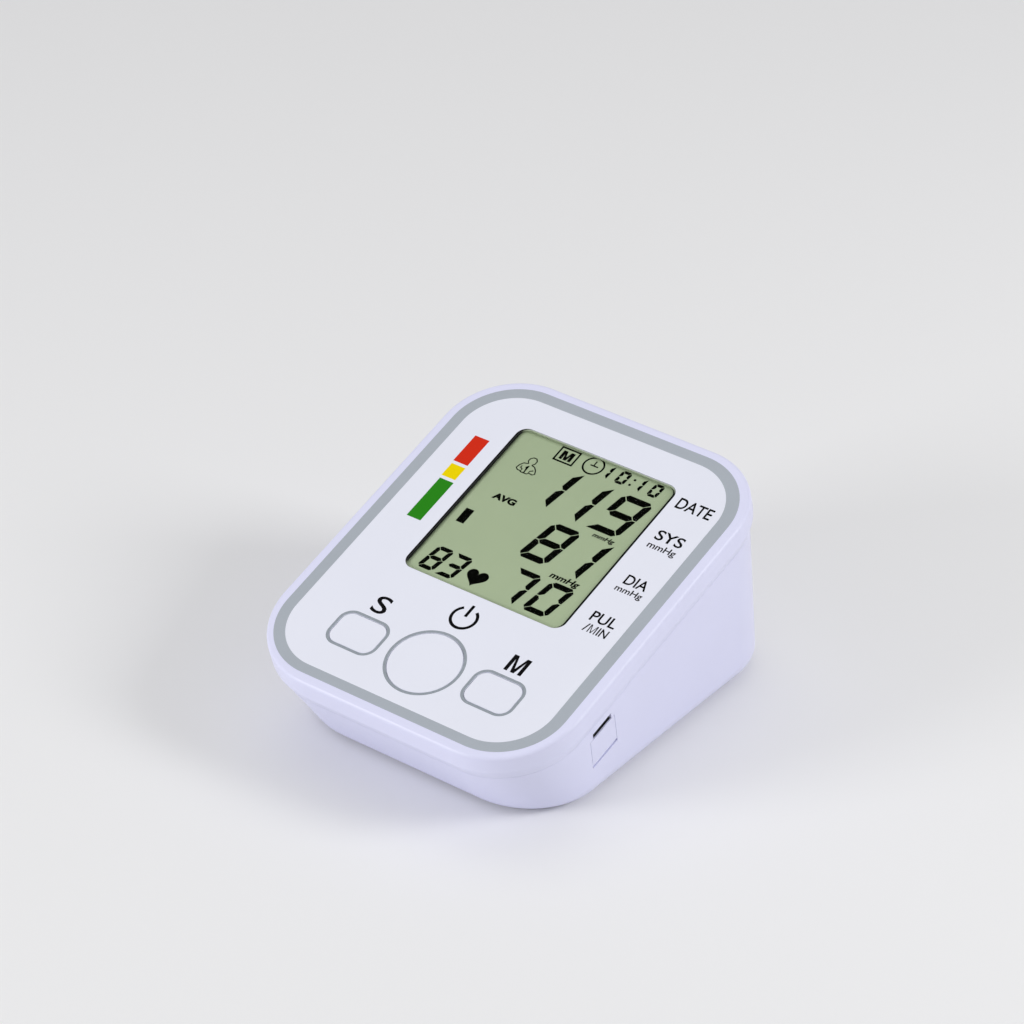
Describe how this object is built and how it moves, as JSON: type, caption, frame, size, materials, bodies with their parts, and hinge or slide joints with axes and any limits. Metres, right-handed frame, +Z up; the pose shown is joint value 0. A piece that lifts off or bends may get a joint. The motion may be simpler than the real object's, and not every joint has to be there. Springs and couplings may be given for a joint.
{
  "type": "desktop blood pressure monitor",
  "caption": "Battery powered desktop blood pressure monitor with a sloping face, LCD window, key row, hinged charging port flap, battery door, air pump and cuff socket.",
  "frame": {"origin": "on the table, under the middle of the unit's overall box, level with the underside of the rubber feet", "axes": "+Z up; +Y towards the rear, the way the face slopes up; +X towards the user's right, the side with the charging port flap"},
  "size_m": [0.1008, 0.1312, 0.0668],
  "materials": {
    "casing_plastic": "smooth semi-gloss moulded plastic, pale lavender white",
    "panel_sheet": "satin printed sheet, near white",
    "key_plastic": "satin moulded plastic, near white",
    "gasket_black": "matt black",
    "clear_lens": "clear acrylic",
    "lcd_glass": "grey-green display glass",
    "light_box": "white diffuser",
    "black_plastic": "matt black moulded plastic",
    "grey_plastic": "matt grey moulded plastic",
    "connector_rubber": "elastomer contact strip",
    "board_green": "green solder mask on glass fibre board",
    "chip_black": "black epoxy",
    "steel": "plain steel",
    "spring_steel": "nickel plated spring steel",
    "nickel": "nickel plated sheet",
    "foot_rubber": "soft grey rubber",
    "cell_jacket": "plain printed jacket",
    "motor_steel": "zinc plated can",
    "magnet": "sintered ferrite",
    "armature": null,
    "brass": "turned brass",
    "foam": "dark foam",
    "silicone": "translucent white silicone"
  },
  "bodies": {
    "housing": {"upper_casing": "casing_plastic", "lower_casing": "casing_plastic", "face_panel": "panel_sheet", "window_gasket": "gasket_black", "window_lens": "clear_lens", "lcd_glass": "lcd_glass", "lcd_backlight": "light_box", "lcd_connector": "connector_rubber", "lcd_holder": "black_plastic", "tact_switches": "black_plastic", "main_board": "board_green", "board_screws": "steel", "board_chips": "chip_black", "buzzer": "black_plastic", "casing_screws": "steel", "rubber_feet": "foot_rubber", "door_pin": "steel", "battery_cells": "cell_jacket", "battery_plates": "nickel", "battery_springs": "spring_steel", "port_cover_pin": "steel", "port_socket": "nickel", "port_board": "board_green", "pump_can": "motor_steel", "pump_bearing": "brass", "pump_magnets": "magnet", "pump_head": "grey_plastic", "pump_sleeve": "foam", "cuff_socket": "grey_plastic", "air_manifold": "grey_plastic", "pressure_sensor": "black_plastic", "valve_body": "motor_steel", "air_tubes": "silicone"},
    "set_key": {"set_key": "key_plastic", "set_switch_button": "grey_plastic"},
    "power_key": {"power_key": "key_plastic", "power_switch_button": "grey_plastic"},
    "memory_key": {"memory_key": "key_plastic", "memory_switch_button": "grey_plastic"},
    "port_cover": {"port_cover": "casing_plastic"},
    "battery_door": {"battery_door": "casing_plastic"},
    "pump_rotor": {"pump_armature": "armature", "pump_shaft": "steel", "pump_crank": "grey_plastic"},
    "valve_plunger": {"valve_plunger": "steel"}
  },
  "joints": [
    {"name": "set_key_press", "type": "slide", "parent": "housing", "child": "set_key", "axis": [0, 0.309, -0.9511], "range_m": [0, 0.0005], "stiffness_N_per_m": 2500, "springref_m": -0.0002},
    {"name": "power_key_press", "type": "slide", "parent": "housing", "child": "power_key", "axis": [0, 0.309, -0.9511], "range_m": [0, 0.0005], "stiffness_N_per_m": 2500, "springref_m": -0.0002},
    {"name": "memory_key_press", "type": "slide", "parent": "housing", "child": "memory_key", "axis": [0, 0.309, -0.9511], "range_m": [0, 0.0005], "stiffness_N_per_m": 2500, "springref_m": -0.0002},
    {"name": "port_cover_hinge", "type": "hinge", "parent": "housing", "child": "port_cover", "pos_m": [0.04672, -0.0254, 0.01573], "axis": [0, 0.9511, 0.309], "range_deg": [0, 85]},
    {"name": "battery_door_hinge", "type": "hinge", "parent": "housing", "child": "battery_door", "pos_m": [0, 0.00056, 0.002], "axis": [-1, 0, 0], "range_deg": [0, 85]},
    {"name": "pump_spin", "type": "hinge", "parent": "housing", "child": "pump_rotor", "pos_m": [0.011, 0.03716, 0.0334], "axis": [1, 0, 0], "continuous": true},
    {"name": "valve_slide", "type": "slide", "parent": "housing", "child": "valve_plunger", "axis": [0, 0.9511, 0.309], "range_m": [0, 0.0008], "stiffness_N_per_m": 200, "springref_m": -0.0005}
  ]
}
